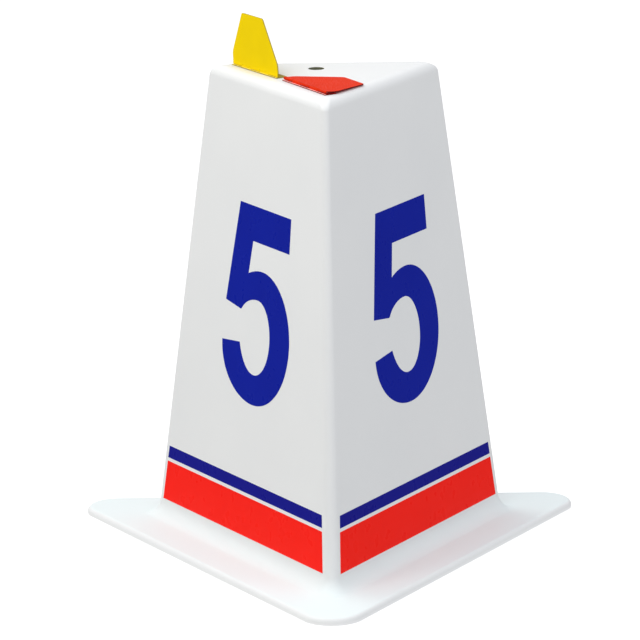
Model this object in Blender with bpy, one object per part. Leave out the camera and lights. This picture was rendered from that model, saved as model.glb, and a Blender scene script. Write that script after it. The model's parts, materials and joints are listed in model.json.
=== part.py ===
"""Athletics track lane marker: a hollow three-sided box that carries its lane
number on each side and two hinged signal flags on top.

The box is one glass-fibre moulding. Its three flat walls lean inwards, its
foot spreads into a wide flange with a turned-down rim, and it is open below,
so that markers stack. Each wall carries a broad red film, a narrow blue film
and a cut film numeral. Along the left-hand edge of the top lie two hexagonal
plastic flags. The yellow one stands raised and the red one lies folded down.
Each turns on a steel pin in the knuckles of a leaf that is riveted to the top.

Metres, +Z up. One corner of the box points to -Y. The origin is on the
ground, in the middle of the flange's width and depth.
"""

import math

import bmesh
import bpy
from mathutils import Matrix, Vector

for old in list(bpy.data.objects):
    bpy.data.objects.remove(old, do_unlink=True)

# Moulded shell. A side is measured between sharp corners, before rounding.
HEIGHT = 0.600
TOP_SIDE = 0.290
WALL_SIDE = 0.453              # at the ground, where the walls' planes meet it
FLANGE_SIDE = 0.677
FLANGE_CORNER_RADIUS = 0.039
FLANGE_HEIGHT = 0.009
LAMINATE = 0.004
RIM_RADIUS = 0.006             # outside rounding of the turned-down rim
FOOT_RADIUS = 0.020            # hollow fillet between a wall and the flange
TOP_EDGE_RADIUS = 0.014
UPRIGHT_RADIUS_TOP = 0.0065    # the upright edges are rounder towards the foot
UPRIGHT_RADIUS_FOOT = 0.011
TOP_CORNER_RADIUS = 0.008
HOLE_DIAMETER = 0.020
HOLE_BACK_INSET = 0.046        # hole's middle to the sharp back edge of the top
HOLE_SIDE_SHIFT = 0.0095       # hole's middle to the left of the middle line

# Films on each wall, measured up the slope of the wall
FILM_THICKNESS = 0.0003
RED_BAND_FOOT = 0.031
RED_BAND_WIDTH = 0.0505
BAND_GAP = 0.0045
BLUE_BAND_WIDTH = 0.0155
BAND_END_INSET = 0.0217        # end of a band to the wall's sharp upright edge
DIGIT_LIFT = 0.0963            # blue band to the foot of the numeral
DIGIT_HEIGHT = 0.2475
DIGIT_SHIFT = 0.0052           # numeral's middle, right of the wall's middle line

# Films are laid by hand: how far a wall's films sit too high, its numeral too far right
FILM_RISES = {"left": 0.0006, "right": -0.0005, "back": 0.0}
DIGIT_DRIFTS = {"left": 0.0020, "right": -0.0019, "back": 0.0}

# Flags and their hinges. Margins are measured along the line of the hinges.
FLAG_FAR_MARGIN = 0.0158       # yellow flag's end to the sharp back edge of the top
FLAG_NEAR_MARGIN = 0.0187      # red flag's end to the sharp right edge of the top
FLAG_PAIR_GAP = 0.0145
FLAG_LENGTH = 0.0673           # from the hinge axis to the tip
FLAG_SHORT_SIDE = 0.0136
FLAG_TIP_WIDTH = 0.049
FLAG_THICKNESS = 0.0015
FLAG_TIP_RADIUS = 0.004
FLAG_SIDE_RADIUS = 0.018       # where a short side meets a slanting one
KNUCKLE_RADIUS = 0.0016
CROWN_RISE = 0.0004            # the flag thickens towards its knuckles
ROOT_TAPER = 0.0045            # hinge axis to where the flag starts to thicken
HEEL_RADIUS = 0.0006
HINGE_INSET = 0.0233           # hinge axis to the sharp left edge of the top
LEAF_DEPTH = 0.012             # hinge axis to the leaf's inner edge
LEAF_TOE = 0.0036              # hinge axis to the leaf's outer edge
LEAF_THICKNESS = 0.0009
PIN_RADIUS = 0.0007
PIN_END_RECESS = 0.0012
RAISED_LEAN = math.radians(3.5)
YELLOW_YAW = math.radians(1.1)     # each hinge is fixed a little out of true
RED_YAW = math.radians(-1.2)

# Countersunk rivets through each leaf and the shell's top
RIVET_SHANK_RADIUS = 0.0016
RIVET_HEAD_RADIUS = 0.0027
RIVET_TAIL_RADIUS = 0.0028
RIVET_TAIL_HEIGHT = 0.0015
WASHER_RADIUS = 0.0045
WASHER_THICKNESS = 0.001

# Gaps between pieces that touch or run in each other
TOUCH_GAP = 0.0003
RUNNING_GAP = 0.00025
OVERRUN = 0.004                # how far a cutter reaches past what it cuts

# Facets of the rounded forms
CORNER_STEPS = 12
RIM_STEPS = 4
FOOT_STEPS = 6
TOP_STEPS = 6
HOLE_STEPS = 40
PIN_STEPS = 16
RIVET_STEPS = 16
KNUCKLE_STEPS = 12
NOTCH_STEPS = 8
HEEL_STEPS = 3
FLAG_CORNER_STEPS = 4
OUTER_BOWL_STEPS = 36
INNER_BOWL_STEPS = 24
SHARP_ANGLE = math.radians(30)

# The smallest share of an outside radius that its inside keeps
LEAST_RADIUS_SHARE = 0.25

# Outline of the 5, in shares of its height, from the middle of its bowl's foot
BAR_LEFT_SHARE = -0.2045
BAR_RIGHT_SHARE = 0.2975
BAR_FOOT_SHARE = 0.8235
STEM_INNER_SHARE = -0.061
STEM_FOOT_SHARES = (-0.301, 0.482)
NOTCH_SHARES = (-0.149, 0.462)
# Each oval of its bowl, by the places of its right, top, left and bottom
BOWL_OUTER_SHARES = ((0.3425, 0.3545), (0.0490, 0.6855), (-0.3180, 0.2755), (0.0075, 0.0025))
BOWL_INNER_SHARES = ((0.1485, 0.3465), (0.0160, 0.5355), (-0.1605, 0.4070), (0.0050, 0.1545))
OUTER_BOWL_FROM = math.radians(112.4)
OUTER_BOWL_TO = math.radians(-180.0)
INNER_BOWL_FROM = math.radians(-153.6)
INNER_BOWL_TO = math.radians(152.7)

# Places along a hinge, in shares of the flag's width
RIVET_PLACE_SHARES = (-0.34, 0.0, 0.34)
KNUCKLE_COUNT = 5

ROOT_3 = math.sqrt(3)
TOP_APOTHEM = TOP_SIDE / (2 * ROOT_3)
WALL_APOTHEM = WALL_SIDE / (2 * ROOT_3)
FLANGE_APOTHEM = FLANGE_SIDE / (2 * ROOT_3)
WALL_SLOPE = math.atan2(WALL_APOTHEM - TOP_APOTHEM, HEIGHT)

# The two flags share the line of the hinges equally, between the end margins
HINGE_LINE = TOP_SIDE - 2 * HINGE_INSET / ROOT_3
FLAG_WIDTH = (HINGE_LINE - FLAG_FAR_MARGIN - FLAG_NEAR_MARGIN - FLAG_PAIR_GAP) / 2
FLAG_PAIR_SHIFT = (FLAG_NEAR_MARGIN - FLAG_FAR_MARGIN) / 2

BORE_RADIUS = PIN_RADIUS + RUNNING_GAP
NOTCH_DEPTH = KNUCKLE_RADIUS + TOUCH_GAP
FLAG_FACE = KNUCKLE_RADIUS - CROWN_RISE
FLAG_UNDERSIDE = FLAG_FACE - FLAG_THICKNESS

# The raised flag leans on its blunt square heel, which sets the axis over the leaf
HEEL_PLACE = KNUCKLE_RADIUS - HEEL_RADIUS
HEEL_DROP = HEEL_PLACE * (math.cos(RAISED_LEAN) + math.sin(RAISED_LEAN)) + HEEL_RADIUS
LEAF_TOP = -HEEL_DROP - TOUCH_GAP
LEAF_FOOT = LEAF_TOP - LEAF_THICKNESS
AXIS_HEIGHT = TOUCH_GAP - LEAF_FOOT

# A folded flag slopes until its tip meets the top, but clears its leaf
TIP_SLOPE = math.asin((AXIS_HEIGHT + FLAG_UNDERSIDE - TOUCH_GAP) / FLAG_LENGTH)
LEAF_SLOPE = math.atan2(FLAG_UNDERSIDE - LEAF_TOP - TOUCH_GAP, LEAF_DEPTH)
FOLDED_ANGLE = -min(TIP_SLOPE, LEAF_SLOPE)
RAISED_ANGLE = math.radians(90) + RAISED_LEAN

# Outward directions of the walls, seen from above
WALL_AZIMUTHS = {
    "left": math.radians(210),
    "right": math.radians(330),
    "back": math.radians(90),
}


def material(name, colour, roughness, metallic=0.0):
    """A plain material for one sub-part."""
    made = bpy.data.materials.new(name)
    made.use_nodes = True
    shader = made.node_tree.nodes["Principled BSDF"]
    shader.inputs["Base Color"].default_value = (*colour, 1.0)
    shader.inputs["Roughness"].default_value = roughness
    shader.inputs["Metallic"].default_value = metallic
    made.diffuse_color = (*colour, 1.0)
    return made


GELCOAT = material("white_gelcoat", (0.80, 0.81, 0.80), 0.18)
RED_FILM = material("red_film", (0.62, 0.014, 0.014), 0.30)
BLUE_FILM = material("blue_film", (0.010, 0.014, 0.24), 0.30)
YELLOW_PLASTIC = material("yellow_plastic", (0.85, 0.62, 0.002), 0.38)
RED_PLASTIC = material("red_plastic", (0.72, 0.050, 0.017), 0.38)
STEEL = material("stainless_steel", (0.56, 0.56, 0.57), 0.32, 1.0)


def empty(name, matrix, parent=None):
    """A named frame that pieces are placed on."""
    frame = bpy.data.objects.new(name, None)
    bpy.context.scene.collection.objects.link(frame)
    frame.parent = parent
    frame.matrix_local = matrix
    return frame


def shade(mesh):
    """Smooth the rounds and keep the real edges sharp."""
    mesh.shade_smooth()
    mesh.set_sharp_from_angle(angle=SHARP_ANGLE)


def add_object(name, builder, surface, parent):
    """Turn a bmesh into a named object with outward faces and smooth rounds."""
    bmesh.ops.recalc_face_normals(builder, faces=builder.faces)
    mesh = bpy.data.meshes.new(name)
    builder.to_mesh(mesh)
    builder.free()
    shade(mesh)
    made = bpy.data.objects.new(name, mesh)
    bpy.context.scene.collection.objects.link(made)
    made.parent = parent
    if surface:
        mesh.materials.append(surface)
    return made


def add_cutter(name, builder, parent):
    """A hidden solid that others are cut with."""
    cutter = add_object(name, builder, None, parent)
    cutter.hide_render = True
    cutter.display_type = "WIRE"
    return cutter


def cut(target, cutter, operation="DIFFERENCE"):
    """Cut the target with another solid, or keep only what both share."""
    boolean = target.modifiers.new(cutter.name, "BOOLEAN")
    boolean.operation = operation
    boolean.solver = "EXACT"
    boolean.object = cutter


def settle(target):
    """Make the target's cuts permanent, remove its cutters and shade it again."""
    bpy.context.view_layer.update()
    evaluated = target.evaluated_get(bpy.context.evaluated_depsgraph_get())
    solid = bpy.data.meshes.new_from_object(evaluated)
    cutters = [boolean.object for boolean in target.modifiers]
    target.modifiers.clear()
    target.data = solid
    shade(solid)
    for cutter in cutters:
        bpy.data.objects.remove(cutter, do_unlink=True)


def add_prism(builder, outline, low, high):
    """Extrude a flat outline of (x, y) points from z = low to z = high."""
    foot = [builder.verts.new((x, y, low)) for x, y in outline]
    head = [builder.verts.new((x, y, high)) for x, y in outline]
    builder.faces.new(reversed(foot))
    builder.faces.new(head)
    for index in range(len(outline)):
        after = (index + 1) % len(outline)
        builder.faces.new((foot[index], foot[after], head[after], head[index]))


def add_bar(builder, profile, low, high):
    """Extrude a side profile of (y, z) points from x = low to x = high."""
    start = len(builder.verts)
    add_prism(builder, profile, low, high)
    builder.verts.ensure_lookup_table()
    turn = Matrix(((0, 0, 1), (1, 0, 0), (0, 1, 0)))
    for vertex in builder.verts[start:]:
        vertex.co = turn @ vertex.co


def add_turned(builder, profile, steps, centre=(0.0, 0.0)):
    """Rings of points for a profile of (radius, z) about an upright axis."""
    rings = []
    for radius, z in profile:
        ring = []
        for step in range(steps):
            angle = 2 * math.pi * step / steps
            x = centre[0] + radius * math.cos(angle)
            y = centre[1] + radius * math.sin(angle)
            ring.append(builder.verts.new((x, y, z)))
        rings.append(ring)
    return rings


def skin_rings(builder, rings, closed=False):
    """Join neighbouring rings with faces, and cap the ends or close the loop."""
    pairs = list(zip(rings, rings[1:]))
    if closed:
        pairs.append((rings[-1], rings[0]))
    for lower, upper in pairs:
        for index in range(len(lower)):
            after = (index + 1) % len(lower)
            builder.faces.new((lower[index], lower[after], upper[after], upper[index]))
    if not closed:
        builder.faces.new(reversed(rings[0]))
        builder.faces.new(rings[-1])


def arc(centre, radii, start, end, steps):
    """Points (x, y) along an elliptical arc, both ends included."""
    points = []
    for step in range(steps + 1):
        angle = start + (end - start) * step / steps
        x = centre[0] + radii[0] * math.cos(angle)
        y = centre[1] + radii[1] * math.sin(angle)
        points.append((x, y))
    return points


# Moulded shell

def wall_apothem(z):
    """Distance from the middle to the outside of a wall's plane at height z."""
    return WALL_APOTHEM + (TOP_APOTHEM - WALL_APOTHEM) * z / HEIGHT


def upright_radius(z):
    """Rounding of the upright edges at height z."""
    return UPRIGHT_RADIUS_FOOT + (UPRIGHT_RADIUS_TOP - UPRIGHT_RADIUS_FOOT) * z / HEIGHT


def inside_radius(radius, skin):
    """What is left of an outside radius below a skin of that thickness."""
    return max(radius - skin, LEAST_RADIUS_SHARE * radius)


def section(apothem, corner_radius, z):
    """Points round a triangle with rounded corners, one corner towards -Y."""
    points = []
    for corner in range(3):
        azimuth = math.radians(120 * corner - 90)
        reach = 2 * (apothem - corner_radius)
        centre = (reach * math.cos(azimuth), reach * math.sin(azimuth))
        start = azimuth - math.radians(60)
        end = azimuth + math.radians(60)
        radii = (corner_radius, corner_radius)
        points += [(x, y, z) for x, y in arc(centre, radii, start, end, CORNER_STEPS)]
    return points


def rim_sections(skin):
    """The turned-down rim, from the ground up to the flange's face."""
    radius = inside_radius(RIM_RADIUS, skin)
    apothem = FLANGE_APOTHEM - skin
    corner = inside_radius(FLANGE_CORNER_RADIUS, skin)
    middle = FLANGE_HEIGHT - skin - radius
    sections = [section(apothem, corner, 0.0)]
    for turn, rise in arc((0.0, middle), (radius, radius), 0.0, math.radians(90), RIM_STEPS):
        inset = radius - turn
        sections.append(section(apothem - inset, corner - inset, rise))
    return sections


def foot_sections(skin):
    """The hollow fillet that leads from the flange's face into the walls."""
    middle = FLANGE_HEIGHT + FOOT_RADIUS
    reach = wall_apothem(middle) + FOOT_RADIUS / math.cos(WALL_SLOPE)
    radius = FOOT_RADIUS + skin
    start = math.radians(270)
    end = math.radians(180) + WALL_SLOPE
    sections = []
    for apothem, z in arc((reach, middle), (radius, radius), start, end, FOOT_STEPS):
        spread = apothem - wall_apothem(z) + skin / math.cos(WALL_SLOPE)
        corner = inside_radius(upright_radius(z), skin) + spread
        sections.append(section(apothem, corner, z))
    return sections


def top_sections(skin):
    """The rounded edge between the walls and the flat top."""
    radius = inside_radius(TOP_EDGE_RADIUS, skin)
    middle = HEIGHT - skin - radius
    reach = wall_apothem(middle) - (skin + radius) / math.cos(WALL_SLOPE)
    curve = arc((reach, middle), (radius, radius), WALL_SLOPE, math.radians(90), TOP_STEPS)
    last = inside_radius(TOP_CORNER_RADIUS, skin)
    sections = []
    for step, (apothem, z) in enumerate(curve):
        first = inside_radius(upright_radius(z), skin)
        corner = first + (last - first) * step / TOP_STEPS
        sections.append(section(apothem, corner, z))
    return sections


def shell_sections(skin):
    """One side of the laminate from the ground to the top."""
    return rim_sections(skin) + foot_sections(skin) + top_sections(skin)


def make_shell(parent):
    """The hollow moulding, with a hole in its top."""
    builder = bmesh.new()
    outside = [[builder.verts.new(p) for p in ring] for ring in shell_sections(0.0)]
    inside = [[builder.verts.new(p) for p in ring] for ring in shell_sections(LAMINATE)]
    skin_rings(builder, list(reversed(outside)) + inside)
    return add_object("body_shell", builder, GELCOAT, parent)


def make_hole_cutter(parent):
    """The round hole through the top, behind the middle."""
    builder = bmesh.new()
    centre = (-HOLE_SIDE_SHIFT, TOP_APOTHEM - HOLE_BACK_INSET)
    radius = HOLE_DIAMETER / 2
    low = HEIGHT - LAMINATE - OVERRUN
    high = HEIGHT + OVERRUN
    rings = add_turned(builder, [(radius, low), (radius, high)], HOLE_STEPS, centre)
    skin_rings(builder, rings)
    return add_cutter("hole_cutter", builder, parent)


# Films on the walls

def wall_frame(azimuth):
    """Frame on a wall: x to the right, y up the slope, z out of the wall."""
    out = Vector((math.cos(azimuth), math.sin(azimuth), 0.0))
    up = Vector((0.0, 0.0, 1.0))
    right = up.cross(out)
    rise = up * math.cos(WALL_SLOPE) - out * math.sin(WALL_SLOPE)
    normal = out * math.cos(WALL_SLOPE) + up * math.sin(WALL_SLOPE)
    frame = Matrix((right, rise, normal)).transposed().to_4x4()
    frame.translation = out * WALL_APOTHEM
    return frame


def band_outline(foot, width):
    """A strip across the wall whose ends follow the upright edges."""
    outline = []
    for rise, hand in ((foot, -1), (foot, 1), (foot + width, 1), (foot + width, -1)):
        z = rise * math.cos(WALL_SLOPE)
        half = ROOT_3 * wall_apothem(z) - BAND_END_INSET
        outline.append((hand * half, rise))
    return outline


def oval(place, extremes, start, end, steps):
    """Points along an oval whose quarters are ellipses between its extremes."""
    right, top, left, bottom = extremes
    points = []
    for step in range(steps + 1):
        angle = start + (end - start) * step / steps
        side = right if math.cos(angle) > 0.0 else left
        crown = top if math.sin(angle) > 0.0 else bottom
        x_share = crown[0] + (side[0] - crown[0]) * abs(math.cos(angle))
        y_share = side[1] + (crown[1] - side[1]) * abs(math.sin(angle))
        points.append(place(x_share, y_share))
    return points


def digit_outline(middle, foot):
    """The numeral 5: bar, leaning stem and round bowl, clockwise."""

    def place(x_share, y_share):
        return (middle + x_share * DIGIT_HEIGHT, foot + y_share * DIGIT_HEIGHT)

    outline = [
        place(BAR_LEFT_SHARE, 1.0),
        place(BAR_RIGHT_SHARE, 1.0),
        place(BAR_RIGHT_SHARE, BAR_FOOT_SHARE),
        place(STEM_INNER_SHARE, BAR_FOOT_SHARE),
    ]
    outline += oval(place, BOWL_OUTER_SHARES, OUTER_BOWL_FROM, OUTER_BOWL_TO, OUTER_BOWL_STEPS)
    outline += oval(place, BOWL_INNER_SHARES, INNER_BOWL_FROM, INNER_BOWL_TO, INNER_BOWL_STEPS)
    outline += [place(*NOTCH_SHARES), place(*STEM_FOOT_SHARES)]
    return outline


def make_film(name, outline, surface, parent):
    """A thin film that lies on the wall below it."""
    builder = bmesh.new()
    add_prism(builder, outline, TOUCH_GAP, TOUCH_GAP + FILM_THICKNESS)
    return add_object(name, builder, surface, parent)


def make_films(parent):
    """The two bands and the numeral on each wall."""
    for wall, azimuth in WALL_AZIMUTHS.items():
        frame = empty("wall_" + wall, wall_frame(azimuth), parent)
        red_foot = RED_BAND_FOOT + FILM_RISES[wall]
        blue_foot = red_foot + RED_BAND_WIDTH + BAND_GAP
        digit_foot = blue_foot + BLUE_BAND_WIDTH + DIGIT_LIFT
        red = band_outline(red_foot, RED_BAND_WIDTH)
        blue = band_outline(blue_foot, BLUE_BAND_WIDTH)
        digit = digit_outline(DIGIT_SHIFT + DIGIT_DRIFTS[wall], digit_foot)
        make_film("red_band_" + wall, red, RED_FILM, frame)
        make_film("blue_band_" + wall, blue, BLUE_FILM, frame)
        make_film("numeral_" + wall, digit, BLUE_FILM, frame)


# Flags and hinges. In a hinge's frame x runs along the pin towards the near
# corner, y points inwards over the top and z points up, from the pin's middle.

def hinge_frame(place, yaw):
    """Frame of one hinge, place being its distance past the edge's middle."""
    out = Vector((math.cos(WALL_AZIMUTHS["left"]), math.sin(WALL_AZIMUTHS["left"]), 0.0))
    along = out.cross(Vector((0.0, 0.0, 1.0)))
    middle = out * (TOP_APOTHEM - HINGE_INSET) + along * place
    middle.z = HEIGHT + AXIS_HEIGHT
    turn = WALL_AZIMUTHS["left"] + math.radians(90) + yaw
    return Matrix.Translation(middle) @ Matrix.Rotation(turn, 4, "Z")


def knuckle_span(index):
    """Where one knuckle of the hinge starts and ends along the pin."""
    step = FLAG_WIDTH / KNUCKLE_COUNT
    start = step * index - FLAG_WIDTH / 2
    return start, start + step


def flag_profile():
    """Side view of a flag: plate that thickens to the knuckle and its heel."""
    round_end = 2 * math.pi + math.asin(FLAG_UNDERSIDE / KNUCKLE_RADIUS)
    radii = (KNUCKLE_RADIUS, KNUCKLE_RADIUS)
    heel_start = math.radians(90)
    heel_radii = (HEEL_RADIUS, HEEL_RADIUS)
    profile = [(FLAG_LENGTH, FLAG_FACE), (ROOT_TAPER, FLAG_FACE)]
    profile += arc((-HEEL_PLACE, HEEL_PLACE), heel_radii, heel_start, math.pi, HEEL_STEPS)
    profile += arc((0.0, 0.0), radii, math.pi, round_end, KNUCKLE_STEPS)
    profile.append((FLAG_LENGTH, FLAG_UNDERSIDE))
    return profile


def leaf_profile():
    """Side view of a leaf: plate below the knuckle, which stands on a web."""
    radii = (KNUCKLE_RADIUS, KNUCKLE_RADIUS)
    profile = [(LEAF_DEPTH, LEAF_TOP), (KNUCKLE_RADIUS, LEAF_TOP)]
    profile += arc((0.0, 0.0), radii, 0.0, math.pi, KNUCKLE_STEPS)
    profile += [(-KNUCKLE_RADIUS, LEAF_TOP), (-LEAF_TOE, LEAF_TOP)]
    profile += [(-LEAF_TOE, LEAF_FOOT), (LEAF_DEPTH, LEAF_FOOT)]
    return profile


def rounded_outline(corners):
    """Replace each corner (x, y, radius) of a convex outline by a short arc."""
    outline = []
    count = len(corners)
    for index, (x, y, radius) in enumerate(corners):
        here = Vector((x, y))
        back = (Vector(corners[index - 1][:2]) - here).normalized()
        ahead = (Vector(corners[(index + 1) % count][:2]) - here).normalized()
        half = back.angle(ahead) / 2
        centre = here + (back + ahead).normalized() * (radius / math.sin(half))
        first = here + back * (radius / math.tan(half)) - centre
        last = here + ahead * (radius / math.tan(half)) - centre
        sweep = first.angle_signed(last)
        for step in range(FLAG_CORNER_STEPS + 1):
            turned = Matrix.Rotation(-sweep * step / FLAG_CORNER_STEPS, 2) @ first
            outline.append(tuple(centre + turned))
    return outline


def flag_outline():
    """Plan of a flag: short sides by the hinge, then slanting to the tip.

    The two root corners lie past the knuckles, so their rounding cuts nothing.
    """
    half = FLAG_WIDTH / 2
    tip = FLAG_TIP_WIDTH / 2
    root = NOTCH_DEPTH + OVERRUN
    plate = [
        (half, -root, OVERRUN),
        (half, FLAG_SHORT_SIDE, FLAG_SIDE_RADIUS),
        (tip, FLAG_LENGTH, FLAG_TIP_RADIUS),
        (-tip, FLAG_LENGTH, FLAG_TIP_RADIUS),
        (-half, FLAG_SHORT_SIDE, FLAG_SIDE_RADIUS),
        (-half, -root, OVERRUN),
    ]
    return rounded_outline(plate)


def flag_notch():
    """Side view of what a flag lacks where the leaf has a knuckle."""
    far = NOTCH_DEPTH + OVERRUN
    reach = (NOTCH_DEPTH, NOTCH_DEPTH)
    profile = [(-far, -far), (NOTCH_DEPTH, -far)]
    profile += arc((0.0, 0.0), reach, 0.0, math.radians(90), NOTCH_STEPS)
    profile += [(0.0, far), (-far, far)]
    return profile


def leaf_notch():
    """Side view of what a leaf lacks over its plate where the flag has a knuckle."""
    far = KNUCKLE_RADIUS + LEAF_THICKNESS
    return [(-far, LEAF_TOP), (far, LEAF_TOP), (far, far), (-far, far)]


def make_root_cutters(name, kept, profile, parent):
    """A pin bore, and a notch at every knuckle of the other piece.

    The flag keeps the knuckles of even number, from the end, the leaf the odd.
    """
    far = FLAG_WIDTH / 2 + OVERRUN
    bore = bmesh.new()
    radii = (BORE_RADIUS, BORE_RADIUS)
    add_bar(bore, arc((0.0, 0.0), radii, 0.0, 2 * math.pi, PIN_STEPS)[:-1], -far, far)
    notches = bmesh.new()
    for index in range(1 - kept, KNUCKLE_COUNT, 2):
        start, end = knuckle_span(index)
        before = OVERRUN if index == 0 else TOUCH_GAP / 2
        after = OVERRUN if index == KNUCKLE_COUNT - 1 else TOUCH_GAP / 2
        add_bar(notches, profile, start - before, end + after)
    return (
        add_cutter(name + "_bore_cutter", bore, parent),
        add_cutter(name + "_notch_cutter", notches, parent),
    )


def make_flag(colour, surface, angle, hinge):
    """One flag with its knuckles, turned about the pin to its place."""
    builder = bmesh.new()
    half = FLAG_WIDTH / 2
    add_bar(builder, flag_profile(), -half, half)
    flag = add_object(colour + "_flag", builder, surface, hinge)
    plan = bmesh.new()
    reach = 2 * KNUCKLE_RADIUS + OVERRUN
    add_prism(plan, flag_outline(), -reach, reach)
    cut(flag, add_cutter(colour + "_flag_outline", plan, flag), "INTERSECT")
    for cutter in make_root_cutters(colour + "_flag", 0, flag_notch(), flag):
        cut(flag, cutter)
    settle(flag)
    flag.rotation_euler = (angle, 0.0, 0.0)


def rivet_places():
    """Middles of the rivets on a leaf, in the hinge's frame."""
    y = (NOTCH_DEPTH + LEAF_DEPTH) / 2
    return [(share * FLAG_WIDTH, y) for share in RIVET_PLACE_SHARES]


def make_leaf(colour, surface, hinge):
    """The fixed leaf, bored for the pin and countersunk for its rivets."""
    builder = bmesh.new()
    half = FLAG_WIDTH / 2
    add_bar(builder, leaf_profile(), -half, half)
    leaf = add_object(colour + "_hinge_leaf", builder, surface, hinge)
    for cutter in make_root_cutters(colour + "_leaf", 1, leaf_notch(), hinge):
        cut(leaf, cutter)
    sinks = bmesh.new()
    narrow = RIVET_SHANK_RADIUS + TOUCH_GAP
    wide = RIVET_HEAD_RADIUS + TOUCH_GAP
    flare = (wide - narrow) / LEAF_THICKNESS
    profile = [
        (narrow, LEAF_FOOT - LEAF_THICKNESS),
        (narrow, LEAF_FOOT),
        (wide + flare * LEAF_THICKNESS, LEAF_TOP + LEAF_THICKNESS),
    ]
    for place in rivet_places():
        skin_rings(sinks, add_turned(sinks, profile, RIVET_STEPS, place))
    cut(leaf, add_cutter(colour + "_sink_cutter", sinks, hinge))
    settle(leaf)


def make_pin(colour, hinge):
    """The straight steel pin through all the knuckles."""
    builder = bmesh.new()
    half = FLAG_WIDTH / 2 - PIN_END_RECESS
    circle = arc((0.0, 0.0), (PIN_RADIUS, PIN_RADIUS), 0.0, 2 * math.pi, PIN_STEPS)[:-1]
    add_bar(builder, circle, -half, half)
    return add_object(colour + "_hinge_pin", builder, STEEL, hinge)


def rivet_profile(tail_top):
    """Tail inside the shell, shank, and countersunk head flush with the leaf."""
    tail_foot = tail_top - RIVET_TAIL_HEIGHT
    crown = (RIVET_SHANK_RADIUS + RIVET_TAIL_RADIUS) / 2
    return [
        (crown, tail_foot),
        (RIVET_TAIL_RADIUS, (tail_foot + tail_top) / 2),
        (RIVET_TAIL_RADIUS, tail_top),
        (RIVET_SHANK_RADIUS, tail_top),
        (RIVET_SHANK_RADIUS, LEAF_FOOT),
        (RIVET_HEAD_RADIUS, LEAF_TOP),
    ]


def washer_profile(top):
    """A flat ring round the rivet's shank, its own outline closed."""
    eye = RIVET_SHANK_RADIUS + TOUCH_GAP
    foot = top - WASHER_THICKNESS
    return [(eye, foot), (WASHER_RADIUS, foot), (WASHER_RADIUS, top), (eye, top)]


def make_rivets(colour, hinge):
    """Countersunk rivets, with a washer under each tail inside the shell."""
    washer_top = -AXIS_HEIGHT - LAMINATE - TOUCH_GAP
    tail_top = washer_top - WASHER_THICKNESS - TOUCH_GAP
    for index, place in enumerate(rivet_places(), start=1):
        rivet = bmesh.new()
        skin_rings(rivet, add_turned(rivet, rivet_profile(tail_top), RIVET_STEPS))
        washer = bmesh.new()
        ring = add_turned(washer, washer_profile(washer_top), RIVET_STEPS)
        skin_rings(washer, ring, closed=True)
        for piece, builder in (("rivet", rivet), ("washer", washer)):
            name = f"{colour}_{piece}_{index}"
            add_object(name, builder, STEEL, hinge).location = (*place, 0.0)


def make_shank_cutter(colour, hinge):
    """Holes through the shell's top for one leaf's rivets."""
    builder = bmesh.new()
    radius = RIVET_SHANK_RADIUS + TOUCH_GAP
    low = -AXIS_HEIGHT - LAMINATE - OVERRUN
    for place in rivet_places():
        profile = [(radius, low), (radius, LEAF_FOOT)]
        skin_rings(builder, add_turned(builder, profile, RIVET_STEPS, place))
    return add_cutter(colour + "_shank_cutter", builder, hinge)


def make_marker():
    """Put the whole marker together on one frame at the box's middle."""
    middle = (FLANGE_APOTHEM - FLANGE_CORNER_RADIUS) / 2
    root = empty("box_middle", Matrix.Translation((0.0, middle, 0.0)))
    shell = make_shell(root)
    cut(shell, make_hole_cutter(root))
    make_films(root)
    spacing = (FLAG_WIDTH + FLAG_PAIR_GAP) / 2
    flags = (
        ("yellow", YELLOW_PLASTIC, spacing, YELLOW_YAW, RAISED_ANGLE),
        ("red", RED_PLASTIC, -spacing, RED_YAW, FOLDED_ANGLE),
    )
    for colour, surface, offset, yaw, angle in flags:
        frame = hinge_frame(FLAG_PAIR_SHIFT + offset, yaw)
        hinge = empty(colour + "_hinge_axis", frame, root)
        cut(shell, make_shank_cutter(colour, hinge))
        make_flag(colour, surface, angle, hinge)
        make_leaf(colour, surface, hinge)
        make_pin(colour, hinge)
        make_rivets(colour, hinge)
    settle(shell)
    bpy.context.view_layer.update()


make_marker()
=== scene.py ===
"""Looks of the track lane marker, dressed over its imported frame.

The glossy white moulding, the cut films, the plastic flags and their steel
hinge parts are modelled finely here, each over the solid that it stands for.
Metres, +Z up. One corner of the box points to -Y, towards the camera.
"""

import json
import math

import bmesh
import bpy
from mathutils import Matrix, Vector


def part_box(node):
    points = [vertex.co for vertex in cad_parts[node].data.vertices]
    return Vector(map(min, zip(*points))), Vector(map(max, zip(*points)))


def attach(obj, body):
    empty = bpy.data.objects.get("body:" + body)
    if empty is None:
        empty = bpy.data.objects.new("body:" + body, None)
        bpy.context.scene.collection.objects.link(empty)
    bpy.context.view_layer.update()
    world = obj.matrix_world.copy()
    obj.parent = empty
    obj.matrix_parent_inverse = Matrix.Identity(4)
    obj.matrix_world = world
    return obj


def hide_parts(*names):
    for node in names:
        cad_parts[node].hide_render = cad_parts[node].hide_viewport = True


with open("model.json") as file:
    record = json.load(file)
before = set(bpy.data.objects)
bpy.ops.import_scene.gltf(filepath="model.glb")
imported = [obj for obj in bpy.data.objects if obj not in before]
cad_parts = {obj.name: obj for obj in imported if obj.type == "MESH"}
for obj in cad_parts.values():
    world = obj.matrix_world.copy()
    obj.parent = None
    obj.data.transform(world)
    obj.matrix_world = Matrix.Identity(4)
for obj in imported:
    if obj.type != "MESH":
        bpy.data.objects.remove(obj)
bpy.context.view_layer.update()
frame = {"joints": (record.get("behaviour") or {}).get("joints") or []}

ROOT_3 = math.sqrt(3)
QUARTER_TURN = math.radians(90)
FULL_TURN = 2 * math.pi
UP = Vector((0.0, 0.0, 1.0))

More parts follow.
